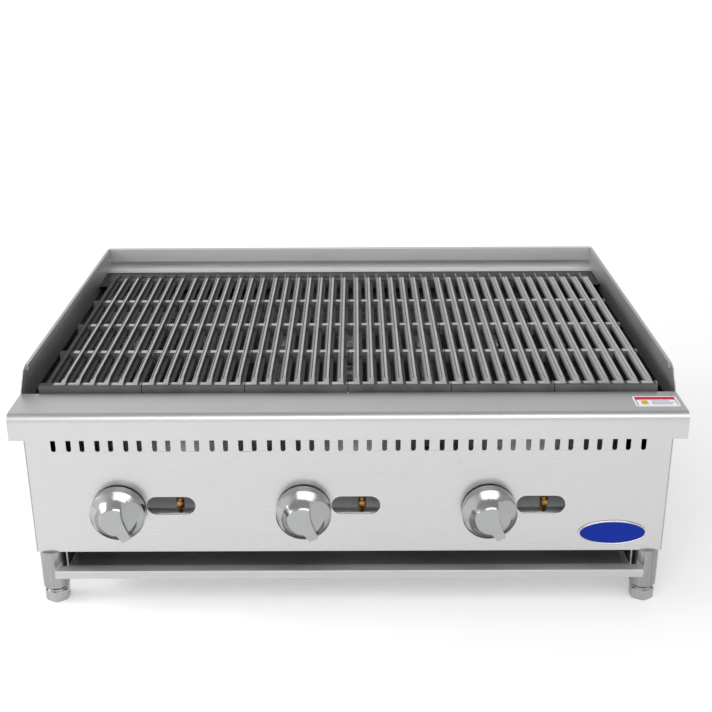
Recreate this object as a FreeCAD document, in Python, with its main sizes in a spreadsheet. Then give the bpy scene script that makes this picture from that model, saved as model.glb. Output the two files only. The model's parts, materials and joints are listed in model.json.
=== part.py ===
import FreeCAD, Part
import os
import re

import Sketcher

# A countertop gas radiant charbroiler: a folded stainless casing on four legs, three burners
# under six radiants, six cast-iron top grates and a drip tray.
# Frame: millimetres, +X right, +Y to the rear, +Z up, origin on the bench under the middle.
SIZES = {
    # whole appliance
    "body_width": 914,
    "body_depth": 701,
    "overall_height": 361,
    "deck_height": 331,
    "casing_bottom": 85,
    "sheet": 1.5,
    "fit_gap": 0.3,
    # front rail
    "rail_depth": 75,
    "rail_drop": 37,
    "rail_nose": 11,
    "rail_rear_flange": 12,
    # front panel, measured back from the rail's nose
    "panel_setback": 60.8,
    "panel_flange": 14,
    "panel_flange_half": 411,
    "vent_width": 6.9,
    "vent_bottom": 247.6,
    "vent_top": 305,
    "vent_pair_gap": 21.6,
    "vent_pair_pitch": 40.5,
    "vent_pairs": 21,
    "window_length": 70,
    "window_height": 28.4,
    "window_shift": 75,
    "window_rise": 6.3,
    "stem_hole": 8,
    # controls
    "knob_start": -330.5,
    "knob_pitch": 266,
    "knob_height": 154.5,
    "knob_radius": 39.3,
    "knob_skirt": 17,
    "knob_depth": 36,
    "knob_wall": 3,
    "knob_bore": 16,
    "knob_clearance": 2.8,
    "knob_turn": 28,
    "facet_tilt": 27,
    "stem_radius": 4,
    "stem_flat": 3,
    "stem_length": 38,
    "stem_seat": 14,
    "running_fit": 0.05,
    # side panels and rear
    "guard_slope_top": 111,
    "guard_slope_mid": 94,
    "guard_rear_cut": 6,
    "hem_width": 3,
    "hem_drop": 9,
    "back_setback": 673,
    "splash_face": 690,
    "splash_lean": 3,
    "splash_bend": 338,
    "lip_height": 322,
    # firebox
    "ledge_height": 321,
    "fire_front": 140,
    "fire_rear": 612,
    "fire_shoulder": 295,
    "fire_waist": 235,
    "fire_bottom": 101,
    "fire_side": 408,
    "ledge_depth": 18,
    "shelf_overhang": 22,
    "side_flange": 14,
    "radiant_ledge": 199,
    "radiant_ledge_depth": 16,
    # grates
    "grate_front": 82,
    "grate_length": 530,
    "grate_pitch": 144.5,
    "grate_width": 143.5,
    "grate_top": 343,
    "grate_bars": 7,
    "bar_pitch": 20.3,
    "bar_height": 21,
    "bar_half": 4.9,
    "bar_foot_half": 2.8,
    "bar_start": 4,
    "bar_end": 526,
    "crest_start": 25,
    "crest_end": 487,
    "crest_width": 2.7,
    "slope_drop": 7,
    "wing_reach": 9.6,
    "wing_drop": 9,
    "rib_width": 13,
    "rib_first": 131,
    "rib_pitch": 118,
    "rib_drop": 3,
    "tail_ridge_drop": 4.3,
    "grate_nose": 14,
    "grate_tail": 40,
    "tail_drop": 6.8,
    "grate_hole": 5,
    # radiants
    "radiant_pitch": 133,
    "radiant_half": 57,
    "radiant_rise": 52,
    "radiant_foot": 8,
    # burners
    "burner_radius": 19,
    "burner_wall": 1.5,
    "burner_mouth": 122,
    "burner_mouth_radius": 25,
    "burner_throat": 150,
    "burner_bend": 500,
    "burner_end": 190,
    "port_width": 2,
    "port_length": 14,
    "port_pitch": 16,
    "port_count": 18,
    "burner_flare": 16,
    "shutter_wall": 1.2,
    "shutter_length": 13,
    "shutter_bore": 9,
    "shutter_window": 5,
    "shutter_window_ring": 16.5,
    # gas train
    "manifold_radius": 13.35,
    "manifold_wall": 2.9,
    "manifold_setback": 95,
    "manifold_height": 123.5,
    "manifold_left": -385,
    "inlet_side": 431,
    "elbow_radius": 32,
    "inlet_union": 140,
    "inlet_end": 700,
    "union_radius": 17,
    "union_length": 34,
    "thread_radius": 12.6,
    "thread_length": 20,
    "valve_bonnet_radius": 14,
    "valve_body_radius": 12,
    "valve_front": 68,
    "valve_bonnet_end": 75,
    "valve_body_end": 107,
    "valve_hood_end": 128,
    "valve_hood_radius": 6.5,
    "valve_foot_radius": 8,
    "nipple_radius": 4.8,
    "orifice_radius": 1.2,
    "pilot_shift": 84,
    "pilot_setback": 90,
    "pilot_radius": 5.8,
    "pilot_waist": 141,
    "pilot_top": 160,
    "pilot_boss_radius": 4.4,
    "pilot_boss_front": 80,
    "pilot_axis": 153,
    "pilot_nipple_radius": 2.5,
    "pilot_screw_radius": 1.8,
    "pilot_screw_head": 3.2,
    "pilot_tube_radius": 2.4,
    "pilot_tube_rear": 172,
    "pilot_bend": 12,
    "pilot_tip_height": 183,
    "pilot_tip_radius": 5,
    # legs and feet
    "leg_side": 437,
    "leg_front": 75,
    "leg_rear": 640,
    "leg_radius": 19.4,
    "leg_wall": 1.6,
    "leg_bottom": 21,
    "leg_plug": 14,
    "stud_radius": 5,
    "stud_length": 9,
    "foot_flat": 32,
    "foot_height": 17,
    "shank_radius": 6,
    "shank_length": 40,
    # base rails and drip tray
    "base_rail_inner": 413,
    "base_rail_sheet": 2,
    "base_rail_bottom": 39.6,
    "runner_width": 15,
    "base_rail_front": 63,
    "base_rail_rear": 671,
    "tray_half": 411,
    "tray_floor": 42.2,
    "tray_top": 64,
    "tray_front": 40,
    "tray_lip_depth": 16.5,
    "tray_lip_drop": 12,
    "tray_lip_half": 428,
    "tray_pan_front": 56.5,
    "tray_rear": 640,
    # trim
    "badge_side": 382.5,
    "badge_height": 114.8,
    "badge_half_width": 49.5,
    "badge_half_height": 19.5,
    "badge_thickness": 1,
    "caution_side": 421,
    "caution_setback": 41,
    "caution_half_width": 30,
    "caution_half_depth": 17,
    "caution_corner": 4,
    "caution_thickness": 0.3,
    "screw_radius": 2,
    "screw_head": 4.2,
    "screw_head_height": 2.4,
    "screw_length": 8,
    "screw_pitch": 200,
    "screw_row_low": 105,
    "screw_row_high": 295,
}

BURNERS = (1, 2, 3)
ENDS = {"front": "leg_front", "rear": "leg_rear"}
SIDES = {"left": -1, "right": 1}

DOC = FreeCAD.newDocument("Charbroiler")
SHEET = DOC.addObject("Spreadsheet::Sheet", "Dims")
SUBPARTS = []


def fill_sheet():
    for row, (alias, number) in enumerate(SIZES.items(), start=1):
        SHEET.set(f"A{row}", alias)
        SHEET.set(f"B{row}", str(number))
        SHEET.setAlias(f"B{row}", alias)
    DOC.recompute()


def bound(formula):
    """The formula with each driving dimension pointed at its cell."""
    return re.sub(r"[a-z][a-z_]+", lambda word: cell_name(word.group(0)), str(formula))


def cell_name(word):
    return f"Dims.{word}" if word in SIZES else word


def size(formula):
    return float(SHEET.evalExpression(bound(formula)))


def from_front(formula):
    """Y of a plane measured back from the rail's nose."""
    return f"({formula}) - body_depth / 2"


def knob_x(number):
    return f"knob_start + knob_pitch * {number - 1}"


# ---- sketches and features -------------------------------------------------------------------

def vector(across, up, out=0.0):
    return FreeCAD.Vector(across, up, out)


def new_body(label):
    body = DOC.addObject("PartDesign::Body", label)
    body.Label = label
    SUBPARTS.append(body)
    return body


def place(part, across="0", back="0", up="0", rotation=None):
    if rotation is not None:
        part.Placement = FreeCAD.Placement(vector(0, 0), rotation)
    part.setExpression("Placement.Base.x", bound(across))
    part.setExpression("Placement.Base.y", bound(back))
    part.setExpression("Placement.Base.z", bound(up))


def sketch_on(body, role):
    """A new sketch on one of the body's own origin planes."""
    sketch = body.newObject("Sketcher::SketchObject", f"{body.Name}_sketch")
    plane = next(item for item in body.Origin.OriginFeatures if item.Role == role)
    sketch.AttachmentSupport = (plane, [""])
    sketch.MapMode = "FlatFace"
    return sketch


def lift(sketch, formula):
    sketch.setExpression("AttachmentOffset.Base.z", bound(formula))


def pin_point(sketch, edge, end, across, up):
    for kind, formula in (("DistanceX", across), ("DistanceY", up)):
        index = sketch.addConstraint(Sketcher.Constraint(kind, -1, 1, edge, end, size(formula)))
        sketch.setExpression(f"Constraints[{index}]", bound(formula))


def draw_outline(sketch, points):
    """A closed chain of straight lines whose corners stay bound to the sheet."""
    corners = [vector(size(across), size(up)) for across, up in points]
    count = len(corners)
    first = sketch.GeometryCount
    for index, corner in enumerate(corners):
        sketch.addGeometry(Part.LineSegment(corner, corners[(index + 1) % count]))
    for index, (across, up) in enumerate(points):
        following = first + (index + 1) % count
        sketch.addConstraint(Sketcher.Constraint("Coincident", first + index, 2, following, 1))
        pin_point(sketch, first + index, 1, across, up)


def draw_box(sketch, left, bottom, right, top):
    draw_outline(sketch, [(left, bottom), (right, bottom), (right, top), (left, top)])


def draw_circle(sketch, across, up, radius):
    middle = vector(size(across), size(up))
    index = sketch.addGeometry(Part.Circle(middle, vector(0, 0, 1), size(radius)))
    pin_point(sketch, index, 3, across, up)
    rule = sketch.addConstraint(Sketcher.Constraint("Radius", index, size(radius)))
    sketch.setExpression(f"Constraints[{rule}]", bound(radius))


def draw_obround(sketch, start, end, radius):
    """Two half circles round start and end, joined by their tangents."""
    first = vector(size(start[0]), size(start[1]))
    last = vector(size(end[0]), size(end[1]))
    reach = size(radius)
    along = (last - first).normalize()
    aside = vector(-along.y, along.x) * reach
    tail = Part.Arc(first + aside, first - along * reach, first - aside)
    head = Part.Arc(last - aside, last + along * reach, last + aside)
    bottom_line = Part.LineSegment(first - aside, last - aside)
    top_line = Part.LineSegment(last + aside, first + aside)
    base = sketch.GeometryCount
    for shape in (tail, bottom_line, head, top_line):
        sketch.addGeometry(shape)
    for index in range(4):
        here = base + index
        following = base + (index + 1) % 4
        sketch.addConstraint(Sketcher.Constraint("Tangent", here, 2, following, 1))
    pin_point(sketch, base, 3, *start)
    pin_point(sketch, base + 2, 3, *end)
    rule = sketch.addConstraint(Sketcher.Constraint("Radius", base, reach))
    sketch.setExpression(f"Constraints[{rule}]", bound(radius))


def hexagon(flat):
    """Corners of a hexagon of the given width across flats, round the sketch's origin."""
    half, corner = f"({flat}) / 2", f"({flat}) / sqrt(3)"
    return [("0", corner), (f"-({half})", f"({corner}) / 2"), (f"-({half})", f"-({corner}) / 2"),
            ("0", f"-({corner})"), (half, f"-({corner}) / 2"), (half, f"({corner}) / 2")]


def extrude(body, sketch, length, kind="PartDesign::Pad", symmetric=False, reverse=False):
    feature = body.newObject(kind, f"{body.Name}_feature")
    feature.Profile = sketch
    feature.setExpression("Length", bound(length))
    feature.Reversed = reverse
    if symmetric:
        feature.SideType = "Symmetric"
    return feature


def cut_through(body, sketch):
    feature = body.newObject("PartDesign::Pocket", f"{body.Name}_cut")
    feature.Profile = sketch
    feature.Type = "ThroughAll"
    feature.SideType = "Symmetric"
    return feature


def turn(body, sketch, axis="V_Axis", kind="PartDesign::Revolution"):
    feature = body.newObject(kind, f"{body.Name}_turned")
    feature.Profile = sketch
    feature.ReferenceAxis = (sketch, [axis])
    feature.Angle = 360
    return feature


def repeat(body, feature, sketch, axis, spacing, count):
    pattern = body.newObject("PartDesign::LinearPattern", f"{body.Name}_row")
    pattern.Originals = [feature]
    pattern.Direction = (sketch, [axis])
    pattern.Mode = "Spacing"
    pattern.setExpression("Offset", bound(spacing))
    pattern.setExpression("Occurrences", bound(count))
    body.Tip = pattern
    return pattern


def edges_where(feature, test):
    """Names of the edges whose middle and direction pass the test."""
    DOC.recompute()
    names = []
    for index, edge in enumerate(feature.Shape.Edges, start=1):
        middle = edge.valueAt((edge.FirstParameter + edge.LastParameter) / 2)
        if test(edge, middle):
            names.append(f"Edge{index}")
    return names


def round_edges(body, feature, names, radius):
    fillet = body.newObject("PartDesign::Fillet", f"{body.Name}_round")
    fillet.Base = (feature, names)
    fillet.setExpression("Radius", bound(radius))
    return fillet


def near(value, formula, slack=0.02):
    return abs(value - size(formula)) < slack


def plate_in_x(body, points, length):
    """Pad a side-view outline (Y across, Z up) symmetrically to a length along X."""
    sketch = sketch_on(body, "YZ_Plane")
    draw_outline(sketch, points)
    return extrude(body, sketch, length, symmetric=True)


# ---- casing ----------------------------------------------------------------------------------

def front_rail():
    """Bullnose top rail: a folded channel with a rolled nose, welded end caps and a rear flange."""
    body = new_body("front_rail")
    place(body, back="-body_depth / 2")
    drop = "deck_height - rail_drop"
    outer = plate_in_x(body, [("0", drop), ("rail_depth", drop), ("rail_depth", "deck_height"),
                              ("0", "deck_height")], "body_width")
    nose = edges_where(outer, lambda edge, middle: near(middle.y, "0") and near(middle.z, "deck_height"))
    round_edges(body, outer, nose, "rail_nose")
    hollow = sketch_on(body, "YZ_Plane")
    draw_outline(hollow, [("sheet", f"{drop} + sheet"), ("sheet", "deck_height - rail_nose"),
                          ("rail_nose", "deck_height - sheet"),
                          ("rail_depth - sheet", "deck_height - sheet"),
                          ("rail_depth - sheet", "deck_height - rail_rear_flange"),
                          ("rail_depth + 1", "deck_height - rail_rear_flange"),
                          ("rail_depth + 1", f"{drop} - 1"), ("panel_setback - fit_gap", f"{drop} - 1"),
                          ("panel_setback - fit_gap", f"{drop} + sheet")])
    extrude(body, hollow, "body_width - 2 * sheet", "PartDesign::Pocket", symmetric=True)
    relief = sketch_on(body, "YZ_Plane")
    draw_box(relief, "panel_setback - fit_gap", f"{drop} - 1", "rail_depth + 1",
             "deck_height - rail_rear_flange")
    extrude(body, relief, "body_width + 1", "PartDesign::Pocket", symmetric=True)


def front_panel():
    """Control panel: stem holes, pilot windows, a row of vents and a return flange along the bottom."""
    body = new_body("front_panel")
    place(body, back=from_front("panel_setback"))
    half = "body_width / 2 - sheet - fit_gap"
    face = sketch_on(body, "XZ_Plane")
    draw_box(face, f"-({half})", "casing_bottom", half, "deck_height - sheet - fit_gap")
    extrude(body, face, "sheet", reverse=True)
    plate_in_x(body, [("0", "casing_bottom"), ("panel_flange", "casing_bottom"),
                      ("panel_flange", "casing_bottom + sheet"), ("0", "casing_bottom + sheet")],
               "2 * panel_flange_half")
    openings = sketch_on(body, "XZ_Plane")
    for number in BURNERS:
        draw_circle(openings, knob_x(number), "knob_height", "stem_hole")
        middle = f"{knob_x(number)} + window_shift"
        run = "(window_length - window_height) / 2"
        level = "knob_height + window_rise"
        draw_obround(openings, (f"{middle} - {run}", level), (f"{middle} + {run}", level),
                     "window_height / 2")
    cut_through(body, openings)
    vents = sketch_on(body, "XZ_Plane")
    left = "-(vent_pair_pitch * (vent_pairs - 1) + vent_pair_gap) / 2"
    for across in (left, f"{left} + vent_pair_gap"):
        draw_obround(vents, (across, "vent_bottom + vent_width / 2"),
                     (across, "vent_top - vent_width / 2"), "vent_width / 2")
    pair = cut_through(body, vents)
    repeat(body, pair, vents, "H_Axis", "vent_pair_pitch", "vent_pairs")


def side_panel(side, sign):
    """Casing side and splash guard in one sheet, sloped at the front and hemmed along the top."""
    body = new_body(f"{side}_side_panel")
    place(body, across=f"{sign} * (body_width - sheet) / 2", back="-body_depth / 2")
    under_rail = "deck_height - rail_rear_flange - fit_gap"
    behind_rail = "rail_depth + fit_gap"
    plate_in_x(body, [("panel_setback", "casing_bottom"), ("panel_setback", under_rail),
                      (behind_rail, under_rail), (behind_rail, "deck_height + 4"),
                      ("guard_slope_mid", "overall_height - 5"), ("guard_slope_top", "overall_height"),
                      ("body_depth - guard_rear_cut", "overall_height"),
                      ("body_depth", "overall_height - guard_rear_cut"),
                      ("body_depth", "lip_height"), ("back_setback + sheet", "lip_height - 20"),
                      ("back_setback + sheet", "casing_bottom")], "sheet")
    hem = sketch_on(body, "YZ_Plane")
    draw_box(hem, "guard_slope_top", "overall_height - hem_drop", "splash_face - 2",
             "overall_height")
    extrude(body, hem, "sheet / 2 + hem_width", reverse=sign > 0)


def back_panel():
    """Rear sheet of the casing, with the hole that the gas inlet comes through."""
    body = new_body("back_panel")
    place(body, back=from_front("back_setback"))
    half = "body_width / 2 - sheet - fit_gap"
    face = sketch_on(body, "XZ_Plane")
    draw_box(face, f"-({half})", "casing_bottom", half, "lip_height - sheet - fit_gap")
    extrude(body, face, "sheet", reverse=True)
    holes = sketch_on(body, "XZ_Plane")
    draw_circle(holes, "inlet_side", "manifold_height", "manifold_radius + 2")
    for row in ("screw_row_low", "screw_row_high"):
        for column in (-2, -1, 0, 1, 2):
            draw_circle(holes, f"{column} * screw_pitch", row, "screw_radius + fit_gap")
    cut_through(body, holes)


def backsplash():
    """Folded rear splash: a front lip, an upright face that leans back, and a rear hem."""
    body = new_body("backsplash")
    place(body, back="-body_depth / 2")
    lean_top = "splash_face + splash_lean"
    plate_in_x(body, [("back_setback", "lip_height - sheet"),
                      ("splash_face + sheet", "lip_height - sheet"),
                      ("splash_face + sheet", "splash_bend"),
                      (f"{lean_top} + sheet", "overall_height - sheet"),
                      ("body_depth - sheet", "overall_height - sheet"),
                      ("body_depth - sheet", "overall_height - 14"),
                      ("body_depth", "overall_height - 14"), ("body_depth", "overall_height"),
                      (lean_top, "overall_height"), ("splash_face", "splash_bend"),
                      ("splash_face", "lip_height"), ("back_setback", "lip_height")],
               "body_width - 2 * sheet - 2 * fit_gap")


# ---- firebox ---------------------------------------------------------------------------------

CASING_HALF = "(body_width / 2 - sheet - fit_gap)"


def trim_to_waist(body):
    """Cut both lower corners away so that the wall follows the waisted side walls."""
    trim = sketch_on(body, "XZ_Plane")
    for sign in (-1, 1):
        points = [("fire_side - fit_gap", "fire_bottom - 1"), (f"{CASING_HALF} + 5", "fire_bottom - 1"),
                  (f"{CASING_HALF} + 5", "fire_shoulder"), (f"{CASING_HALF} - fit_gap", "fire_shoulder"),
                  ("fire_side - fit_gap", "fire_waist")]
        draw_outline(trim, [(f"{sign} * ({across})", up) for across, up in points])
    cut_through(body, trim)


def firebox_front_wall():
    """Waisted front wall: grate ledge at the top, radiant ledge inside, holes for the burners."""
    body = new_body("firebox_front_wall")
    place(body, back="-body_depth / 2")
    shoulder = "rail_depth + ledge_depth"
    plate_in_x(body, [("rail_depth + 1", "ledge_height - sheet"), (shoulder, "ledge_height - sheet"),
                      (shoulder, "fire_shoulder"), ("fire_front", "fire_waist"),
                      ("fire_front", "fire_bottom"), ("fire_front + sheet", "fire_bottom"),
                      ("fire_front + sheet", "fire_waist"), (f"{shoulder} + sheet", "fire_shoulder"),
                      (f"{shoulder} + sheet", "ledge_height"), ("rail_depth + 1", "ledge_height")],
               f"2 * {CASING_HALF}")
    trim_to_waist(body)
    inside = "fire_front + sheet"
    plate_in_x(body, [(inside, "radiant_ledge - sheet"),
                      (f"{inside} + radiant_ledge_depth", "radiant_ledge - sheet"),
                      (f"{inside} + radiant_ledge_depth", "radiant_ledge"), (inside, "radiant_ledge")],
               "2 * fire_side - 2 * fit_gap")
    holes = sketch_on(body, "XZ_Plane")
    for number in BURNERS:
        draw_circle(holes, knob_x(number), "knob_height", "burner_radius + 1.5")
        draw_circle(holes, f"{knob_x(number)} + pilot_shift", "pilot_axis", "pilot_tube_radius + 1")
    cut_through(body, holes)


def firebox_rear_wall():
    """Rear wall with the shelf that carries the grates' tails and closes the top to the back panel."""
    body = new_body("firebox_rear_wall")
    place(body, back="-body_depth / 2")
    shelf_front = "fire_rear - shelf_overhang"
    plate_in_x(body, [("fire_rear", "fire_bottom"), ("fire_rear + sheet", "fire_bottom"),
                      ("fire_rear + sheet", "ledge_height - sheet"),
                      ("back_setback - fit_gap", "ledge_height - sheet"),
                      ("back_setback - fit_gap", "ledge_height"), (shelf_front, "ledge_height"),
                      (shelf_front, "ledge_height - sheet"), ("fire_rear", "ledge_height - sheet")],
               f"2 * {CASING_HALF}")
    trim_to_waist(body)
    plate_in_x(body, [("fire_rear - radiant_ledge_depth", "radiant_ledge - sheet"),
                      ("fire_rear", "radiant_ledge - sheet"), ("fire_rear", "radiant_ledge"),
                      ("fire_rear - radiant_ledge_depth", "radiant_ledge")],
               "2 * fire_side - 2 * fit_gap")


def firebox_side_wall(side, sign):
    """Waisted side wall: upright below, then sloped out to a flange on the casing side."""
    body = new_body(f"firebox_{side}_wall")
    start = "rail_depth + 1"
    place(body, back=from_front(start))
    points = [("fire_side", "fire_bottom"), ("fire_side + sheet", "fire_bottom"),
              ("fire_side + sheet", "fire_waist"), (CASING_HALF, "fire_shoulder - sheet"),
              (CASING_HALF, "fire_shoulder + side_flange"),
              (f"{CASING_HALF} - sheet", "fire_shoulder + side_flange"),
              (f"{CASING_HALF} - sheet", "fire_shoulder"), ("fire_side", "fire_waist")]
    profile = sketch_on(body, "XZ_Plane")
    draw_outline(profile, [(f"{sign} * ({across})", up) for across, up in points])
    extrude(body, profile, f"fire_rear - fit_gap - ({start})", reverse=True)
    behind_front = f"fire_front + sheet + fit_gap - ({start})"
    behind_ledge = f"rail_depth + ledge_depth + sheet + fit_gap - ({start})"
    ahead = sketch_on(body, "YZ_Plane")
    draw_outline(ahead, [("-1", "fire_bottom - 1"), (behind_front, "fire_bottom - 1"),
                         (behind_front, "fire_waist"), (behind_ledge, "fire_shoulder"),
                         (behind_ledge, "ledge_height"), ("-1", "ledge_height")])
    extrude(body, ahead, "body_width", "PartDesign::Pocket", symmetric=True)


# ---- cooking grates and radiants -------------------------------------------------------------

# Bar section, as (distance right of the bar's middle, distance below the top): a steep slope rising
# from the left, a narrow groove, the crest on the right, and a low wing on the right that carries grease.
CREST_LEFT = "bar_half - 0.8 - crest_width"
BAR_SECTION = [("-bar_foot_half", "bar_height"), ("bar_foot_half", "bar_height"),
               ("(wing_reach - 1)", "(wing_drop + 3.5)"), ("wing_reach", "(wing_drop + 1)"),
               ("wing_reach", "wing_drop"), ("bar_half", "(wing_drop - 1.5)"), ("bar_half", "0.8"),
               ("(bar_half - 0.8)", "0"), (f"({CREST_LEFT})", "0"), (f"({CREST_LEFT} - 0.9)", "1.4"),
               (f"({CREST_LEFT} - 2)", "0.5"), ("-bar_half", "slope_drop")]


def grate(number):
    """Cast-iron top grate: seven bars, three cross ribs, a front bar and a drilled tail."""
    body = new_body(f"grate_{number}")
    place(body, across=f"({number} - 3.5) * grate_pitch", back=from_front("grate_front"))
    first_bar = "-bar_pitch * (grate_bars - 1) / 2"
    bar = sketch_on(body, "XZ_Plane")
    lift(bar, "-bar_start")
    draw_outline(bar, [(f"{first_bar} + {across}", f"grate_top - {down}") for across, down in BAR_SECTION])
    bar_pad = extrude(body, bar, "bar_end - bar_start", reverse=True)
    repeat(body, bar_pad, bar, "H_Axis", "bar_pitch", "grate_bars")
    ends = sketch_on(body, "YZ_Plane")
    above = "grate_top + 1"
    draw_outline(ends, [("0", above), ("0", "grate_top - rib_drop"), ("bar_start + 1", "grate_top - rib_drop"),
                        ("crest_start", "grate_top"), ("crest_start", above)])
    ridge = "grate_top - tail_ridge_drop"
    draw_outline(ends, [("crest_end", above), ("crest_end", "grate_top"), ("crest_end + 10", ridge),
                        ("bar_end + 1", ridge), ("bar_end + 1", above)])
    extrude(body, ends, "grate_width + 20", "PartDesign::Pocket", symmetric=True)
    rib = sketch_on(body, "YZ_Plane")
    draw_outline(rib, [("rib_first - rib_width / 2", "grate_top - bar_height + 1"),
                       ("rib_first + rib_width / 2", "grate_top - bar_height + 1"),
                       ("rib_first + rib_width / 2 - 1.5", "grate_top - rib_drop"),
                       ("rib_first - rib_width / 2 + 1.5", "grate_top - rib_drop")])
    rib_pad = extrude(body, rib, "grate_width", symmetric=True)
    repeat(body, rib_pad, rib, "H_Axis", "rib_pitch", "3")
    plate_in_x(body, [("0", "ledge_height + 3"), ("3", "ledge_height"), ("grate_nose", "ledge_height"),
                      ("grate_nose + 5", "grate_top - bar_height + 4"),
                      ("grate_nose - 3", "grate_top - rib_drop"), ("2", "grate_top - rib_drop"),
                      ("0", "grate_top - rib_drop - 2")], "grate_width")
    tail = "grate_length - grate_tail"
    plate_in_x(body, [(tail, "ledge_height"), ("grate_length", "ledge_height"),
                      ("grate_length", "grate_top - tail_drop - 1"),
                      ("grate_length - 1", "grate_top - tail_drop"),
                      (f"{tail} + 3", "grate_top - tail_drop"),
                      (tail, "grate_top - tail_drop - 2")], "grate_width")
    holes = sketch_on(body, "XY_Plane")
    draw_circle(holes, f"{first_bar} + bar_pitch / 2", "grate_length - grate_tail / 2 + 3", "grate_hole")
    hole = cut_through(body, holes)
    repeat(body, hole, holes, "H_Axis", "bar_pitch", "grate_bars - 1")


def radiant(number):
    """Folded radiant: an inverted V over one burner leg, with flat feet on the ledges."""
    body = new_body(f"radiant_{number}")
    place(body, across=f"knob_start + radiant_pitch * {number - 1}",
          back=from_front("fire_front + sheet + 1"), up="radiant_ledge")
    edge = "radiant_half - radiant_foot"
    profile = sketch_on(body, "XZ_Plane")
    draw_outline(profile, [("-radiant_half", "0"), (f"-({edge})", "0"), ("0", "radiant_rise - sheet"),
                           (edge, "0"), ("radiant_half", "0"), ("radiant_half", "sheet"),
                           (f"{edge} + sheet", "sheet"), ("4", "radiant_rise"), ("-4", "radiant_rise"),
                           (f"-({edge}) - sheet", "sheet"), ("-radiant_half", "sheet")])
    extrude(body, profile, "fire_rear - fire_front - sheet - 2", reverse=True)


# ---- burners ---------------------------------------------------------------------------------

def burner(number):
    """U-shaped tube burner: venturi mouth, port leg, rear bend and a second port leg."""
    body = new_body(f"burner_{number}")
    place(body, across=knob_x(number), back="-body_depth / 2", up="knob_height")
    spine = sketch_on(body, "XY_Plane")
    half = "radiant_pitch / 2"
    first = vector(0, size("burner_throat"))
    bend_start = vector(0, size("burner_bend"))
    bend_top = vector(size(half), size(f"burner_bend + {half}"))
    bend_end = vector(size("radiant_pitch"), size("burner_bend"))
    last = vector(size("radiant_pitch"), size("burner_end"))
    for shape in (Part.LineSegment(first, bend_start), Part.Arc(bend_start, bend_top, bend_end),
                  Part.LineSegment(bend_end, last)):
        spine.addGeometry(shape)
    ring = sketch_on(body, "XZ_Plane")
    lift(ring, "-burner_throat")
    draw_circle(ring, "0", "0", "burner_radius")
    draw_circle(ring, "0", "0", "burner_radius - burner_wall")
    pipe = body.newObject("PartDesign::AdditivePipe", f"{body.Name}_tube")
    pipe.Profile = ring
    pipe.Spine = (spine, [])
    mouth = sketch_on(body, "XY_Plane")
    draw_outline(mouth, [("burner_radius", "burner_throat"),
                         ("burner_radius", "burner_mouth + burner_flare"),
                         ("burner_mouth_radius", "burner_mouth + burner_flare / 2"),
                         ("burner_mouth_radius", "burner_mouth"),
                         ("burner_mouth_radius - burner_wall", "burner_mouth"),
                         ("burner_mouth_radius - burner_wall", "burner_mouth + burner_flare / 2"),
                         ("burner_radius - burner_wall", "burner_mouth + burner_flare"),
                         ("burner_radius - burner_wall", "burner_throat")])
    turn(body, mouth)
    cap = sketch_on(body, "XZ_Plane")
    lift(cap, "-burner_end")
    draw_circle(cap, "radiant_pitch", "0", "burner_radius")
    extrude(body, cap, "burner_wall", reverse=True)
    ports = sketch_on(body, "XY_Plane")
    lift(ports, "burner_radius - 4")
    for across in ("0", "radiant_pitch"):
        draw_box(ports, f"{across} - port_length / 2", "burner_end + 12",
                 f"{across} + port_length / 2", "burner_end + 12 + port_width")
    slots = extrude(body, ports, "6", "PartDesign::Pocket", reverse=True)
    repeat(body, slots, ports, "V_Axis", "port_pitch", "port_count")


def air_shutter(number):
    """Slotted collar that turns on the venturi mouth to set the primary air."""
    body = new_body(f"air_shutter_{number}")
    place(body, across=knob_x(number), back=from_front("burner_mouth - 6"), up="knob_height")
    inner = "burner_mouth_radius + fit_gap"
    outer = f"{inner} + shutter_wall"
    profile = sketch_on(body, "XY_Plane")
    draw_outline(profile, [(inner, "shutter_wall"), (inner, "shutter_length"), (outer, "shutter_length"),
                           (outer, "0"), ("shutter_bore", "0"), ("shutter_bore", "shutter_wall")])
    turn(body, profile)
    windows = sketch_on(body, "XZ_Plane")
    for across, up in ((-1, 0), (1, 0), (0, -1), (0, 1)):
        draw_circle(windows, f"{across} * shutter_window_ring", f"{up} * shutter_window_ring",
                    "shutter_window")
    cut_through(body, windows)


# ---- gas train -------------------------------------------------------------------------------

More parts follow.
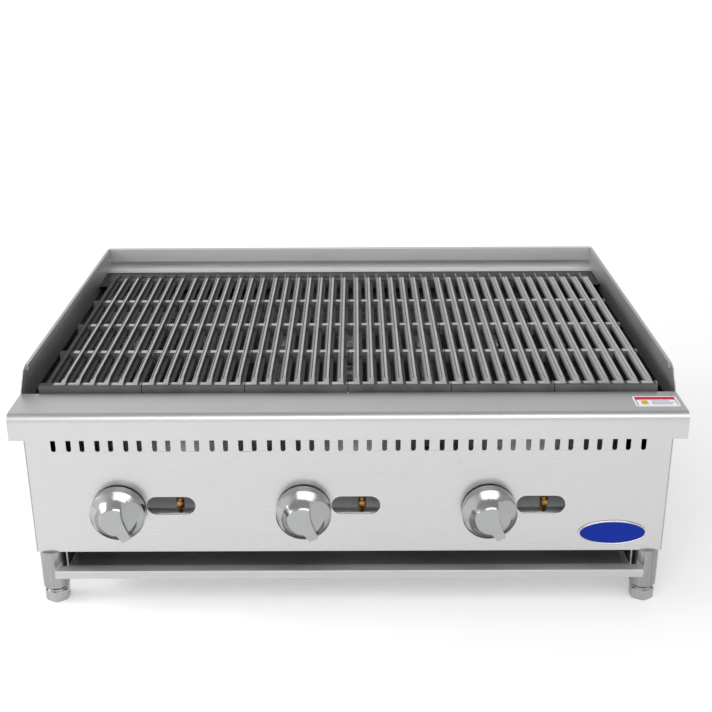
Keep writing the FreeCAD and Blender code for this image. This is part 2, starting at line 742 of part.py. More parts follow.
def manifold_pipe():
    """Gas manifold across the front, capped at the left, with a long elbow to the rear at the right."""
    body = new_body("manifold_pipe")
    place(body, back=from_front("manifold_setback"), up="manifold_height")
    spine = sketch_on(body, "XY_Plane")
    turn_in = size("inlet_side - elbow_radius")
    bend = size("elbow_radius")
    start = vector(size("manifold_left"), 0)
    bend_start = vector(turn_in, 0)
    bend_middle = vector(turn_in + bend * 0.5 ** 0.5, bend - bend * 0.5 ** 0.5)
    bend_end = vector(turn_in + bend, bend)
    end = vector(turn_in + bend, size("inlet_union - manifold_setback"))
    for shape in (Part.LineSegment(start, bend_start), Part.Arc(bend_start, bend_middle, bend_end),
                  Part.LineSegment(bend_end, end)):
        spine.addGeometry(shape)
    ring = sketch_on(body, "YZ_Plane")
    lift(ring, "manifold_left")
    draw_circle(ring, "0", "0", "manifold_radius")
    draw_circle(ring, "0", "0", "manifold_radius - manifold_wall")
    pipe = body.newObject("PartDesign::AdditivePipe", "manifold_tube")
    pipe.Profile = ring
    pipe.Spine = (spine, [])
    cap = sketch_on(body, "YZ_Plane")
    lift(cap, "manifold_left")
    draw_outline(cap, hexagon("2 * manifold_radius + 6"))
    extrude(body, cap, "12", reverse=True)
    taps = sketch_on(body, "XY_Plane")
    for tap in BURNERS:
        draw_circle(taps, knob_x(tap), "0", "nipple_radius + running_fit")
        draw_circle(taps, f"{knob_x(tap)} + pilot_shift", "pilot_setback - manifold_setback",
                    "pilot_nipple_radius + running_fit")
    extrude(body, taps, "manifold_radius + 2", "PartDesign::Pocket", reverse=True)


def gas_inlet_pipe():
    """Supply pipe along the right side to the rear, joined to the manifold by a hexagon union."""
    body = new_body("gas_inlet_pipe")
    place(body, across="inlet_side", back=from_front("inlet_union + fit_gap"), up="manifold_height")
    union = sketch_on(body, "XZ_Plane")
    draw_outline(union, hexagon("2 * union_radius"))
    extrude(body, union, "union_length", reverse=True)
    tube = sketch_on(body, "XZ_Plane")
    draw_circle(tube, "0", "0", "manifold_radius")
    extrude(body, tube, "inlet_end - thread_length - inlet_union - fit_gap", reverse=True)
    thread = sketch_on(body, "XZ_Plane")
    draw_circle(thread, "0", "0", "thread_radius")
    extrude(body, thread, "inlet_end - inlet_union - fit_gap", reverse=True)
    bore = sketch_on(body, "XZ_Plane")
    draw_circle(bore, "0", "0", "manifold_radius - manifold_wall")
    cut_through(body, bore)


def gas_valve(number):
    """Brass burner valve on the manifold: bonnet, barrel, orifice hood and a threaded foot."""
    body = new_body(f"gas_valve_{number}")
    place(body, across=knob_x(number), back="-body_depth / 2", up="knob_height")
    barrel = sketch_on(body, "XY_Plane")
    draw_outline(barrel, [("0", "valve_front"), ("valve_bonnet_radius", "valve_front"),
                          ("valve_bonnet_radius", "valve_bonnet_end"),
                          ("valve_body_radius", "valve_bonnet_end"),
                          ("valve_body_radius", "valve_body_end"),
                          ("valve_hood_radius", "valve_body_end + 4"),
                          ("valve_hood_radius", "valve_hood_end - 3"),
                          ("valve_hood_radius - 2", "valve_hood_end"), ("0", "valve_hood_end")])
    turn(body, barrel)
    foot = sketch_on(body, "XY_Plane")
    lift(foot, "manifold_height + manifold_radius - knob_height")
    draw_circle(foot, "0", "manifold_setback", "valve_foot_radius")
    extrude(body, foot, "10")
    nipple = sketch_on(body, "XY_Plane")
    lift(nipple, "manifold_height + manifold_radius - knob_height")
    draw_circle(nipple, "0", "manifold_setback", "nipple_radius")
    extrude(body, nipple, "manifold_wall + 1", reverse=True)
    bore = sketch_on(body, "XZ_Plane")
    lift(bore, "-valve_front")
    draw_circle(bore, "0", "0", "stem_radius + running_fit")
    extrude(body, bore, "stem_seat + 2", "PartDesign::Pocket")
    orifice = sketch_on(body, "XZ_Plane")
    lift(orifice, "-valve_hood_end")
    draw_circle(orifice, "0", "0", "orifice_radius")
    extrude(body, orifice, "12", "PartDesign::Pocket", reverse=True)


def valve_stem(number):
    """Valve spindle with the flat that drives the knob's hub."""
    body = new_body(f"valve_stem_{number}")
    place(body, across=knob_x(number), back=from_front("valve_front + stem_seat"), up="knob_height")
    shaft = sketch_on(body, "XZ_Plane")
    draw_circle(shaft, "0", "0", "stem_radius")
    extrude(body, shaft, "stem_length")
    flat = sketch_on(body, "XZ_Plane")
    lift(flat, "stem_length - 14")
    draw_box(flat, "-stem_radius - 1", "stem_flat", "stem_radius + 1", "stem_radius + 1")
    extrude(body, flat, "15", "PartDesign::Pocket", reverse=True)


def knob(number):
    """Die-cast knob: a skirt and cone, a sloped facet on each side, and a narrow pointer grip."""
    body = new_body(f"knob_{number}")
    turned = FreeCAD.Rotation(vector(1, 0, 0), 90) * FreeCAD.Rotation(vector(0, 0, 1), size("knob_turn"))
    place(body, across=knob_x(number), back=from_front("panel_setback - knob_clearance"),
          up="knob_height", rotation=turned)
    profile = sketch_on(body, "XZ_Plane")
    draw_outline(profile, [("0", "0"), ("knob_radius", "0"), ("knob_radius", "knob_skirt - 2"),
                           ("knob_radius - 2", "knob_skirt"), ("knob_radius * 0.76", "knob_skirt + 6"),
                           ("knob_radius * 0.58", "knob_depth - 2"),
                           ("knob_radius * 0.52", "knob_depth"), ("0", "knob_depth")])
    turn(body, profile)
    for sign in (-1, 1):
        facet = sketch_on(body, "XY_Plane")
        facet.AttachmentOffset = FreeCAD.Placement(
            vector(0, 0, size("knob_depth")), FreeCAD.Rotation(vector(0, 1, 0), sign * size("facet_tilt")))
        draw_facet(facet, sign)
        cut = extrude(body, facet, "knob_depth", "PartDesign::Pocket", reverse=True)
        cut.UseCustomVector = True
        cut.Direction = vector(0, 0, -1)
    pointer = sketch_on(body, "XY_Plane")
    lift(pointer, "knob_skirt - 1")
    draw_outline(pointer, [(f"{sign} * knob_radius * {across}", f"knob_radius * {up}")
                           for sign, across, up in ((-1, 0.28, 0.1), (-1, 0.24, -0.3), (-1, 0.17, -0.83),
                                                    (1, 0.17, -0.83), (1, 0.24, -0.3), (1, 0.28, 0.1))])
    extrude(body, pointer, "knob_depth - knob_skirt + 1")
    hub = sketch_on(body, "XY_Plane")
    draw_circle(hub, "0", "0", "stem_radius + running_fit")
    extrude(body, hub, "knob_bore", "PartDesign::Pocket", reverse=True)
    relief = sketch_on(body, "XY_Plane")
    draw_circle(relief, "0", "0", "knob_radius - knob_wall")
    draw_circle(relief, "0", "0", "stem_radius + knob_wall + 1")
    extrude(body, relief, "knob_skirt - knob_wall - 2", "PartDesign::Pocket", reverse=True)


def draw_facet(sketch, sign):
    """One side facet: an arc beside the grip, closed by straight lines outside the skirt."""
    radius = size("knob_radius")
    wide = vector(sign * 0.74 * radius, 0.66 * radius)
    waist = vector(sign * 0.32 * radius, -0.05 * radius)
    narrow = vector(sign * 0.24 * radius, -1.05 * radius)
    low_corner = vector(sign * 1.2 * radius, -1.05 * radius)
    high_corner = vector(sign * 1.2 * radius, 0.66 * radius)
    sketch.addGeometry(Part.Arc(wide, waist, narrow))
    sketch.addGeometry(Part.LineSegment(narrow, low_corner))
    sketch.addGeometry(Part.LineSegment(low_corner, high_corner))
    sketch.addGeometry(Part.LineSegment(high_corner, wide))
    sketch.addConstraint(Sketcher.Constraint("Coincident", 0, 2, 1, 1))
    sketch.addConstraint(Sketcher.Constraint("Coincident", 3, 2, 0, 1))
    for index in (1, 2):
        sketch.addConstraint(Sketcher.Constraint("Coincident", index, 2, index + 1, 1))


def pilot_valve(number):
    """Small brass pilot valve standing on the manifold, with a boss for its adjusting screw."""
    body = new_body(f"pilot_valve_{number}")
    place(body, across=f"{knob_x(number)} + pilot_shift", back=from_front("pilot_setback"))
    crown = "manifold_height + manifold_radius"
    post = sketch_on(body, "XZ_Plane")
    draw_outline(post, [("0", crown), ("pilot_radius - 1.5", crown), ("pilot_radius - 1.5", "pilot_waist"),
                        ("pilot_radius", "pilot_waist + 3"), ("pilot_radius", "pilot_top - 1"),
                        ("pilot_radius - 1", "pilot_top"), ("0", "pilot_top")])
    turn(body, post)
    nipple = sketch_on(body, "XY_Plane")
    lift(nipple, f"{crown} - manifold_wall - 1")
    draw_circle(nipple, "0", "0", "pilot_nipple_radius")
    extrude(body, nipple, "manifold_wall + 5")
    boss = sketch_on(body, "XZ_Plane")
    draw_circle(boss, "0", "pilot_axis", "pilot_boss_radius")
    extrude(body, boss, "pilot_setback - pilot_boss_front")
    bore = sketch_on(body, "XZ_Plane")
    lift(bore, "pilot_setback - pilot_boss_front")
    draw_circle(bore, "0", "pilot_axis", "pilot_screw_radius + running_fit")
    extrude(body, bore, "9", "PartDesign::Pocket")


def pilot_screw(number):
    """Slotted needle screw that sets the pilot flame."""
    body = new_body(f"pilot_screw_{number}")
    place(body, across=f"{knob_x(number)} + pilot_shift", back=from_front("pilot_boss_front - fit_gap"),
          up="pilot_axis")
    shank = sketch_on(body, "XZ_Plane")
    draw_circle(shank, "0", "0", "pilot_screw_radius")
    extrude(body, shank, "8", reverse=True)
    head = sketch_on(body, "XZ_Plane")
    draw_circle(head, "0", "0", "pilot_screw_head")
    extrude(body, head, "2.4")
    slot = sketch_on(body, "XZ_Plane")
    lift(slot, "1.2")
    draw_box(slot, "-4", "-0.4", "4", "0.4")
    extrude(body, slot, "2", "PartDesign::Pocket", reverse=True)


def pilot_burners():
    """Three pilot tubes, each running back through the firebox wall and up to a pilot tip."""
    rear = size("pilot_tube_rear")
    bend = size("pilot_bend")
    radius = size("pilot_tube_radius")
    start_y = size("pilot_setback + pilot_radius + fit_gap")
    axis = size("pilot_axis")
    top = size("pilot_tip_height")
    flat = vector(0, start_y, axis)
    bend_start = vector(0, rear - bend, axis)
    bend_middle = vector(0, rear - bend + bend * 0.5 ** 0.5, axis + bend - bend * 0.5 ** 0.5)
    bend_end = vector(0, rear, axis + bend)
    path = Part.Wire([Part.LineSegment(flat, bend_start).toShape(),
                      Part.Arc(bend_start, bend_middle, bend_end).toShape(),
                      Part.LineSegment(bend_end, vector(0, rear, top)).toShape()])
    ring = Part.Wire([Part.makeCircle(radius, flat, vector(0, 1, 0))])
    tube = path.makePipeShell([ring], True, True)
    tip = Part.makeCylinder(size("pilot_tip_radius"), 14, vector(0, rear, top - 4))
    one = tube.fuse(tip).removeSplitter()
    copies = []
    for number in BURNERS:
        copy = one.copy()
        copy.translate(vector(size(f"{knob_x(number)} + pilot_shift"), 0, 0))
        copies.append(copy)
    burners = DOC.addObject("Part::Feature", "pilot_burners")
    burners.Label = "pilot_burners"
    burners.Shape = Part.makeCompound(copies)
    place(burners, back="-body_depth / 2")
    SUBPARTS.append(burners)


# ---- legs, feet and drip tray ----------------------------------------------------------------

def leg(side, sign, end):
    """Tubular leg closed by a threaded plug, with a stud that bolts it to the base rail."""
    body = new_body(f"leg_{end}_{side}")
    place(body, across=f"{sign} * leg_side", back=from_front(ENDS[end]))
    bore = "shank_radius + running_fit"
    profile = sketch_on(body, "XZ_Plane")
    draw_outline(profile, [(bore, "leg_bottom"), ("leg_radius - 3", "leg_bottom"),
                           ("leg_radius", "leg_bottom + 4"), ("leg_radius", "casing_bottom"),
                           ("stud_radius", "casing_bottom"), ("stud_radius", "casing_bottom + stud_length"),
                           ("0", "casing_bottom + stud_length"), ("0", "casing_bottom - leg_wall"),
                           ("leg_radius - leg_wall", "casing_bottom - leg_wall"),
                           ("leg_radius - leg_wall", "leg_bottom + leg_plug"),
                           (bore, "leg_bottom + leg_plug")])
    turn(body, profile)


def foot(side, sign, end):
    """Adjustable foot: a hexagon pad, a round collar and a screwed shank."""
    body = new_body(f"foot_{end}_{side}")
    place(body, across=f"{sign} * leg_side", back=from_front(ENDS[end]))
    pad = sketch_on(body, "XY_Plane")
    draw_outline(pad, hexagon("foot_flat"))
    extrude(body, pad, "foot_height")
    shank = sketch_on(body, "XZ_Plane")
    draw_outline(shank, [("0", "foot_height - 1"), ("foot_flat / 2 - 1", "foot_height - 1"),
                         ("foot_flat / 2 - 4", "leg_bottom - fit_gap"),
                         ("shank_radius", "leg_bottom - fit_gap"),
                         ("shank_radius", "foot_height + shank_length"),
                         ("0", "foot_height + shank_length")])
    turn(body, shank)


def base_rail(side, sign):
    """Folded rail along the casing's lower edge: carries two legs and the drip-tray runner."""
    body = new_body(f"base_rail_{side}")
    place(body, back=from_front("base_rail_front"))
    thick = "base_rail_sheet"
    edge = "body_width / 2 - sheet - fit_gap"
    web = "base_rail_inner"
    points = [(edge, "casing_bottom"), (edge, f"casing_bottom + {thick}"),
              (web, f"casing_bottom + {thick}"), (web, f"base_rail_bottom + {thick}"),
              (f"{web} - runner_width", f"base_rail_bottom + {thick}"),
              (f"{web} - runner_width", "base_rail_bottom"), (f"{web} + {thick}", "base_rail_bottom"),
              (f"{web} + {thick}", "casing_bottom")]
    profile = sketch_on(body, "XZ_Plane")
    draw_outline(profile, [(f"{sign} * ({across})", up) for across, up in points])
    extrude(body, profile, "base_rail_rear - base_rail_front", reverse=True)
    holes = sketch_on(body, "XY_Plane")
    for setback in ENDS.values():
        draw_circle(holes, f"{sign} * leg_side", f"{setback} - base_rail_front", "stud_radius + fit_gap")
    cut_through(body, holes)


def drip_tray():
    """Full-width grease tray: an open pan whose front is folded into a pull lip."""
    body = new_body("drip_tray")
    place(body, back="-body_depth / 2")
    plate_in_x(body, [("tray_pan_front", "tray_floor"), ("tray_rear", "tray_floor"),
                      ("tray_rear", "tray_top"), ("tray_pan_front", "tray_top")], "2 * tray_half")
    pan = sketch_on(body, "YZ_Plane")
    draw_box(pan, "tray_pan_front + sheet", "tray_floor + sheet", "tray_rear - sheet", "tray_top + 1")
    extrude(body, pan, "2 * tray_half - 2 * sheet", "PartDesign::Pocket", symmetric=True)
    plate_in_x(body, [("tray_front", "tray_top - tray_lip_drop"),
                      ("tray_front + sheet", "tray_top - tray_lip_drop"),
                      ("tray_front + sheet", "tray_top - sheet"),
                      ("tray_front + tray_lip_depth", "tray_top - sheet"),
                      ("tray_front + tray_lip_depth", "tray_top"),
                      ("tray_front + sheet", "tray_top"), ("tray_front", "tray_top - sheet")],
               "2 * tray_lip_half")


# ---- trim ------------------------------------------------------------------------------------

def badge_plate():
    """Plain oval badge at the right of the control panel."""
    outline = DOC.addObject("Part::Ellipse", "badge_outline")
    outline.setExpression("MajorRadius", bound("badge_half_width"))
    outline.setExpression("MinorRadius", bound("badge_half_height"))
    place(outline, across="badge_side", back=from_front("panel_setback"), up="badge_height",
          rotation=FreeCAD.Rotation(vector(1, 0, 0), 90))
    plate = DOC.addObject("Part::Extrusion", "badge_plate")
    plate.Label = "badge_plate"
    plate.Base = outline
    plate.DirMode = "Custom"
    plate.Dir = vector(0, -1)
    plate.setExpression("LengthFwd", bound("badge_thickness"))
    plate.Solid = True
    SUBPARTS.append(plate)


def caution_label():
    """Plain label on top of the rail."""
    body = new_body("caution_label")
    place(body, across="caution_side", back=from_front("caution_setback"), up="deck_height")
    face = sketch_on(body, "XY_Plane")
    draw_box(face, "-caution_half_width", "-caution_half_depth", "caution_half_width",
             "caution_half_depth")
    plate = extrude(body, face, "caution_thickness")
    corners = edges_where(plate, lambda edge, middle: near(edge.Length, "caution_thickness"))
    round_edges(body, plate, corners, "caution_corner")


def casing_screws():
    """Ten pan-head screws in two rows on the back panel."""
    shank = Part.makeCylinder(size("screw_radius"), size("screw_length"), vector(0, 0, 0), vector(0, -1, 0))
    head = Part.makeCylinder(size("screw_head"), size("screw_head_height"), vector(0, 0, 0),
                             vector(0, 1, 0))
    one = shank.fuse(head)
    copies = []
    for row in ("screw_row_low", "screw_row_high"):
        for column in (-2, -1, 0, 1, 2):
            copy = one.copy()
            copy.translate(vector(column * size("screw_pitch"), 0, size(row)))
            copies.append(copy)
    screws = DOC.addObject("Part::Feature", "casing_screws")
    screws.Label = "casing_screws"
    screws.Shape = Part.makeCompound(copies)
    place(screws, back=from_front("back_setback + sheet"))
    SUBPARTS.append(screws)


# ---- assembly --------------------------------------------------------------------------------

def build_all():
    front_rail()
    front_panel()
    back_panel()
    backsplash()
    firebox_front_wall()
    firebox_rear_wall()
    for side, sign in SIDES.items():
        side_panel(side, sign)
        firebox_side_wall(side, sign)
        base_rail(side, sign)
        for end in ENDS:
            leg(side, sign, end)
            foot(side, sign, end)
    for number in range(1, 7):
        grate(number)
        radiant(number)
    for number in BURNERS:
        burner(number)
        air_shutter(number)
        gas_valve(number)
        valve_stem(number)
        knob(number)
        pilot_valve(number)
        pilot_screw(number)
    manifold_pipe()
    gas_inlet_pipe()
    pilot_burners()
    drip_tray()
    badge_plate()
    caution_label()
    casing_screws()


def check_all():
    DOC.recompute()
    faults = [f"{item.Label}: {item.State}" for item in DOC.Objects
              if "Invalid" in item.State or "Error" in item.State]
    for part in SUBPARTS:
        if part.Shape.isNull() or not part.Shape.isValid() or not part.Shape.Solids:
            faults.append(f"{part.Label}: no valid solid")
    if faults:
        raise RuntimeError("; ".join(faults))


def export_all():
    os.makedirs("parts", exist_ok=True)
    for part in SUBPARTS:
        part.Shape.exportStep(f"parts/{part.Label}.step")
    print(len(SUBPARTS), "sub-parts written")


fill_sheet()
build_all()
check_all()
export_all()
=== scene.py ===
import json
import math

import bmesh
import bpy
from mathutils import Matrix, Vector


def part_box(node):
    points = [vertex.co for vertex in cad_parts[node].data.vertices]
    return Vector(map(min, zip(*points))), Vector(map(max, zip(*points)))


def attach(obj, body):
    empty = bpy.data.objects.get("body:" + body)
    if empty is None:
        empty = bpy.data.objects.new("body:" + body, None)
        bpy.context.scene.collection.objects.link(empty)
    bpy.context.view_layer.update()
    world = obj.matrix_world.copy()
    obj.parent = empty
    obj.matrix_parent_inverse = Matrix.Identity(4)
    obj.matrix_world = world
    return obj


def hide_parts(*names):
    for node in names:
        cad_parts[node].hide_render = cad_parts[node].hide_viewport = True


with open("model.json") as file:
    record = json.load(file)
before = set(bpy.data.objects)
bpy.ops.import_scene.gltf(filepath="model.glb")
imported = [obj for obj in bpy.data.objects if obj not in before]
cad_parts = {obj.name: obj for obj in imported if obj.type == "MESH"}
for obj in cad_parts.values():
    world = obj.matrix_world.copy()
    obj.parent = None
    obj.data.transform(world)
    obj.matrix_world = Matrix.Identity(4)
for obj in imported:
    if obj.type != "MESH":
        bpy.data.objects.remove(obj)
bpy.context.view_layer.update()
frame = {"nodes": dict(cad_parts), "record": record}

NODES = frame["nodes"]
SLOT_OF = {row["node"]: row["material_slot"] for row in frame["record"]["subparts"]}
MM = 0.001
ENDS = [f"{end}_{side}" for end in ("front", "rear") for side in ("left", "right")]


# ---- materials -------------------------------------------------------------------------------

class Finish:
    """A material with one Principled shader, and short calls for the nodes that feed it."""

    def __init__(self, name, color, metallic, roughness):
        self.material = bpy.data.materials.new(name)
        self.material.use_nodes = True
        self.tree = self.material.node_tree
        self.shader = self.tree.nodes["Principled BSDF"]
        self.set("Base Color", (*color, 1))
        self.set("Metallic", metallic)
        self.set("Roughness", roughness)
        self.place = self.node("ShaderNodeTexCoord").outputs["Object"]
        self.material.diffuse_color = (*color, 1)

    def set(self, socket, value):
        self.shader.inputs[socket].default_value = value

    def node(self, kind, **settings):
        made = self.tree.nodes.new(kind)
        for key, value in settings.items():
            setattr(made, key, value)
        return made

    def feed(self, target, value):
        if isinstance(value, bpy.types.NodeSocket):
            self.tree.links.new(value, target)
        else:
            target.default_value = value

    def stretched(self, scale):
        mapping = self.node("ShaderNodeMapping")
        self.feed(mapping.inputs["Vector"], self.place)
        mapping.inputs["Scale"].default_value = scale
        return mapping.outputs["Vector"]

    def noise(self, scale, detail=3, roughness=0.55, stretch=(1, 1, 1)):
        made = self.node("ShaderNodeTexNoise")
        self.feed(made.inputs["Vector"], self.stretched(stretch))
        made.inputs["Scale"].default_value = scale
        made.inputs["Detail"].default_value = detail
        made.inputs["Roughness"].default_value = roughness
        return made.outputs["Fac"]

    def cells(self, scale):
        made = self.node("ShaderNodeTexVoronoi")
        self.feed(made.inputs["Vector"], self.place)
        made.inputs["Scale"].default_value = scale
        return made.outputs["Distance"]

    def span(self, value, low, high, start=0.0, end=1.0):
        """The value from low..high, remapped to start..end and clamped."""
        made = self.node("ShaderNodeMapRange")
        for socket, number in (("Value", value), ("From Min", low), ("From Max", high),
                               ("To Min", start), ("To Max", end)):
            self.feed(made.inputs[socket], number)
        return made.outputs["Result"]

    def math(self, operation, first, second=0.0):
        made = self.node("ShaderNodeMath", operation=operation)
        self.feed(made.inputs[0], first)
        self.feed(made.inputs[1], second)
        return made.outputs["Value"]

    def mix(self, factor, first, second):
        made = self.node("ShaderNodeMix", data_type="RGBA")
        self.feed(made.inputs["Factor"], factor)
        for socket, value in (("A", first), ("B", second)):
            target = next(s for s in made.inputs if s.name == socket and s.type == "RGBA")
            self.feed(target, value if isinstance(value, bpy.types.NodeSocket) else (*value, 1))
        return next(s for s in made.outputs if s.type == "RGBA")

    def axis(self, letter):
        split = self.node("ShaderNodeSeparateXYZ")
        self.feed(split.inputs["Vector"], self.place)
        return split.outputs[letter]

    def clear_of_corner_shade(self, reach):
        """One on open surface, falling to zero in corners within the reach: the mask for painted shade in
        corners.
        """
        made = self.node("ShaderNodeAmbientOcclusion", samples=8)
        made.inputs["Distance"].default_value = reach
        return self.span(made.outputs["AO"], 0.35, 0.9)

    def drive(self, socket, value):
        self.feed(self.shader.inputs[socket], value)

    def bump(self, *layers):
        """Each layer is (height, strength, distance in metres)."""
        normal = None
        for height, strength, distance in layers:
            made = self.node("ShaderNodeBump")
            self.feed(made.inputs["Height"], height)
            made.inputs["Strength"].default_value = strength
            made.inputs["Distance"].default_value = distance
            if normal is not None:
                self.feed(made.inputs["Normal"], normal)
            normal = made.outputs["Normal"]
        self.drive("Normal", normal)


def shade(color, factor):
    return tuple(channel * factor for channel in color)


def grain_along(axis, across, lengthwise):
    """A noise scale for each axis, fine across the brushing and coarse along it."""
    scale = [across] * 3
    scale["XYZ".index(axis)] = lengthwise
    return scale


def brushed(name, color, along, roughness, contrast=0.08, smudge=0.05, painted_shade_above=None):
    """Sheet steel brushed along one axis, with handling marks, and near-black painted shade above a height
    if given.
    """
    finish = Finish(name, color, 1.0, roughness)
    streaks = finish.noise(1.0, detail=4, roughness=0.7, stretch=grain_along(along, 900.0, 9.0))
    bands = finish.noise(1.0, detail=2, stretch=grain_along(along, 60.0, 1.2))
    cloud = finish.noise(7.0, detail=3)
    tone = finish.math("ADD", finish.math("MULTIPLY", streaks, 0.6), finish.math("MULTIPLY", bands, 0.4))
    steel = finish.mix(finish.span(tone, 0.3, 0.7), shade(color, 1 - contrast),
                       shade(color, 1 + contrast / 2))
    if painted_shade_above is not None:
        # Painted shade: near black above the given height, its edge broken by noise.
        height = finish.math("ADD", finish.axis("Z"), finish.span(cloud, 0.3, 0.7, -12 * MM, 12 * MM))
        steel = finish.mix(finish.span(height, painted_shade_above - 30 * MM, painted_shade_above), steel, (0.05, 0.049, 0.048))
    finish.drive("Base Color", steel)
    rough = finish.math("ADD", finish.span(streaks, 0.3, 0.7, roughness - 0.05, roughness + 0.05),
                        finish.span(cloud, 0.35, 0.7, 0.0, smudge))
    finish.drive("Roughness", rough)
    finish.bump((streaks, 0.12, 0.02 * MM), (cloud, 0.05, 0.6 * MM))
    return finish.material


def cast_iron(name, top, left):
    """As-cast iron: near black, dull grey in front, rubbed bright on the crests, and painted light on the
    left slopes.

    The strip right of each crest, over the grease channel, is kept dark as painted shade, and the bar by
    the left guard is kept dark as the guard's painted shadow.
    """
    dark = (0.022, 0.022, 0.024)
    finish = Finish(name, dark, 0.0, 0.55)
    grain = finish.noise(900.0, detail=4, roughness=0.65)
    lumps = finish.noise(170.0, detail=3)
    patches = finish.noise(24.0, detail=4)
    facing = finish.node("ShaderNodeSeparateXYZ")
    finish.feed(facing.inputs["Vector"], finish.node("ShaderNodeNewGeometry").outputs["Normal"])
    height = finish.axis("Z")
    crest = finish.math("MULTIPLY", finish.span(facing.outputs["Z"], 0.88, 0.97),
                        finish.span(height, top - 3.8 * MM, top - 3.4 * MM))
    # Painted light: left-facing slopes near the top get the rubbed colour, as lit by the key lamp on the
    # left.
    painted_lit_slope = finish.math("MULTIPLY", finish.span(facing.outputs["X"], -0.5, -0.7),
                        finish.span(height, top - 7.6 * MM, top - 2 * MM, 0.0, 0.9))
    across = finish.axis("X")
    in_grate = finish.math("FLOORED_MODULO", finish.math("SUBTRACT", across, left), GRATE_PITCH)
    past_crest = finish.math("FLOORED_MODULO", finish.math("SUBTRACT", in_grate, FIRST_CREST), BAR_PITCH)
    # Painted shadow: the bar by the left guard is kept dark, as in the guard's shadow.
    used_out_of_painted_shade = finish.math("MULTIPLY", finish.span(patches, 0.25, 0.6, 0.8, 1.0),
                       finish.span(across, left + 16 * MM, left + 18 * MM))
    # Painted shade: the strip right of each crest, over the grease channel, is kept dark.
    used_out_of_painted_shade = finish.math("MULTIPLY", used_out_of_painted_shade, finish.span(past_crest, CHANNEL - 0.7 * MM, CHANNEL + 0.7 * MM))
    worn_and_painted_light = finish.math("MULTIPLY", finish.math("MAXIMUM", crest, painted_lit_slope), used_out_of_painted_shade)
    front = finish.span(facing.outputs["Y"], -0.6, -0.9)
    body = finish.mix(finish.span(lumps, 0.3, 0.7), dark, (0.042, 0.042, 0.044))
    scuffed = finish.mix(finish.span(patches, 0.3, 0.7), (0.08, 0.08, 0.082), (0.14, 0.14, 0.142))
    # The rubbed colour is real wear on the crests and painted light on the left slopes.
    rubbed_and_painted_lit = finish.mix(finish.span(grain, 0.35, 0.65), (0.50, 0.50, 0.505), (0.74, 0.74, 0.745))
    finish.drive("Base Color", finish.mix(worn_and_painted_light, finish.mix(front, body, scuffed), rubbed_and_painted_lit))
    finish.drive("Metallic", finish.span(worn_and_painted_light, 0.2, 0.9, 0.1, 0.9))
    finish.drive("Roughness", finish.span(worn_and_painted_light, 0.0, 1.0, 0.55, 0.4))
    finish.bump((lumps, 0.35, 0.5 * MM), (grain, 0.35, 0.12 * MM))
    return finish.material


def radiant_steel(name):
    """Bare steel plate, dulled, with faint straw heat tints."""
    base = (0.22, 0.215, 0.21)
    finish = Finish(name, base, 1.0, 0.5)
    cloud = finish.noise(9.0, detail=4)
    fleck = finish.noise(260.0, detail=3)
    finish.drive("Base Color", finish.mix(finish.span(cloud, 0.45, 0.75), base, (0.23, 0.205, 0.18)))
    finish.drive("Roughness", finish.span(fleck, 0.3, 0.7, 0.42, 0.58))
    finish.bump((fleck, 0.12, 0.1 * MM))
    return finish.material


def plated(name, color, roughness):
    """Satin chrome over a die casting: faint polishing marks, soft prints, and painted shade in the
    corners.
    """
    finish = Finish(name, color, 1.0, roughness)
    marks = finish.noise(420.0, detail=3)
    prints = finish.noise(48.0, detail=3)
    finish.drive("Roughness", finish.math("ADD", finish.span(prints, 0.35, 0.7, roughness - 0.03,
                                                             roughness + 0.06),
                                          finish.span(marks, 0.3, 0.7, 0.0, 0.02)))
    unshaded = finish.mix(finish.span(prints, 0.3, 0.7), shade(color, 0.96), color)
    # Painted shade: the colour falls to a fifth of itself in corners and creases.
    finish.drive("Base Color", finish.mix(finish.clear_of_corner_shade(5 * MM), shade(color, 0.2), unshaded))
    finish.bump((marks, 0.03, 0.03 * MM), (prints, 0.04, 0.25 * MM))
    return finish.material


def brass(name):
    """Machined brass with turning rings and a little brown tarnish."""
    bright = (0.80, 0.52, 0.20)
    finish = Finish(name, bright, 1.0, 0.25)
    rings = finish.noise(1.0, detail=2, stretch=(60, 2600, 60))
    tarnish = finish.noise(150.0, detail=4)
    finish.drive("Base Color", finish.mix(finish.span(tarnish, 0.5, 0.75), bright, (0.42, 0.22, 0.09)))
    finish.drive("Roughness", finish.span(tarnish, 0.3, 0.7, 0.2, 0.38))
    finish.bump((rings, 0.15, 0.05 * MM))
    return finish.material


def zinc_pipe(name):
    """Zinc-plated pipe: pale grey with a faint spangle and dull scuffs."""
    finish = Finish(name, (0.74, 0.74, 0.75), 1.0, 0.42)
    spangle = finish.cells(260.0)
    scuff = finish.noise(120.0, detail=5)
    finish.drive("Base Color", finish.mix(finish.span(spangle, 0.2, 0.8), (0.68, 0.68, 0.69),
                                          (0.80, 0.80, 0.81)))
    finish.drive("Roughness", finish.span(scuff, 0.3, 0.7, 0.36, 0.52))
    finish.bump((scuff, 0.12, 0.1 * MM))
    return finish.material


def enamel(name, color):
    """Smooth satin coating with a faint orange peel."""
    finish = Finish(name, color, 0.0, 0.3)
    peel = finish.noise(260.0, detail=2)
    finish.set("Specular IOR Level", 0.12)
    finish.set("Coat Weight", 0.05)
    finish.set("Coat Roughness", 0.1)
    finish.drive("Base Color", finish.mix(finish.span(peel, 0.3, 0.7), shade(color, 0.94), color))
    finish.drive("Roughness", finish.span(peel, 0.3, 0.7, 0.27, 0.34))
    finish.bump((peel, 0.05, 0.1 * MM))
    return finish.material


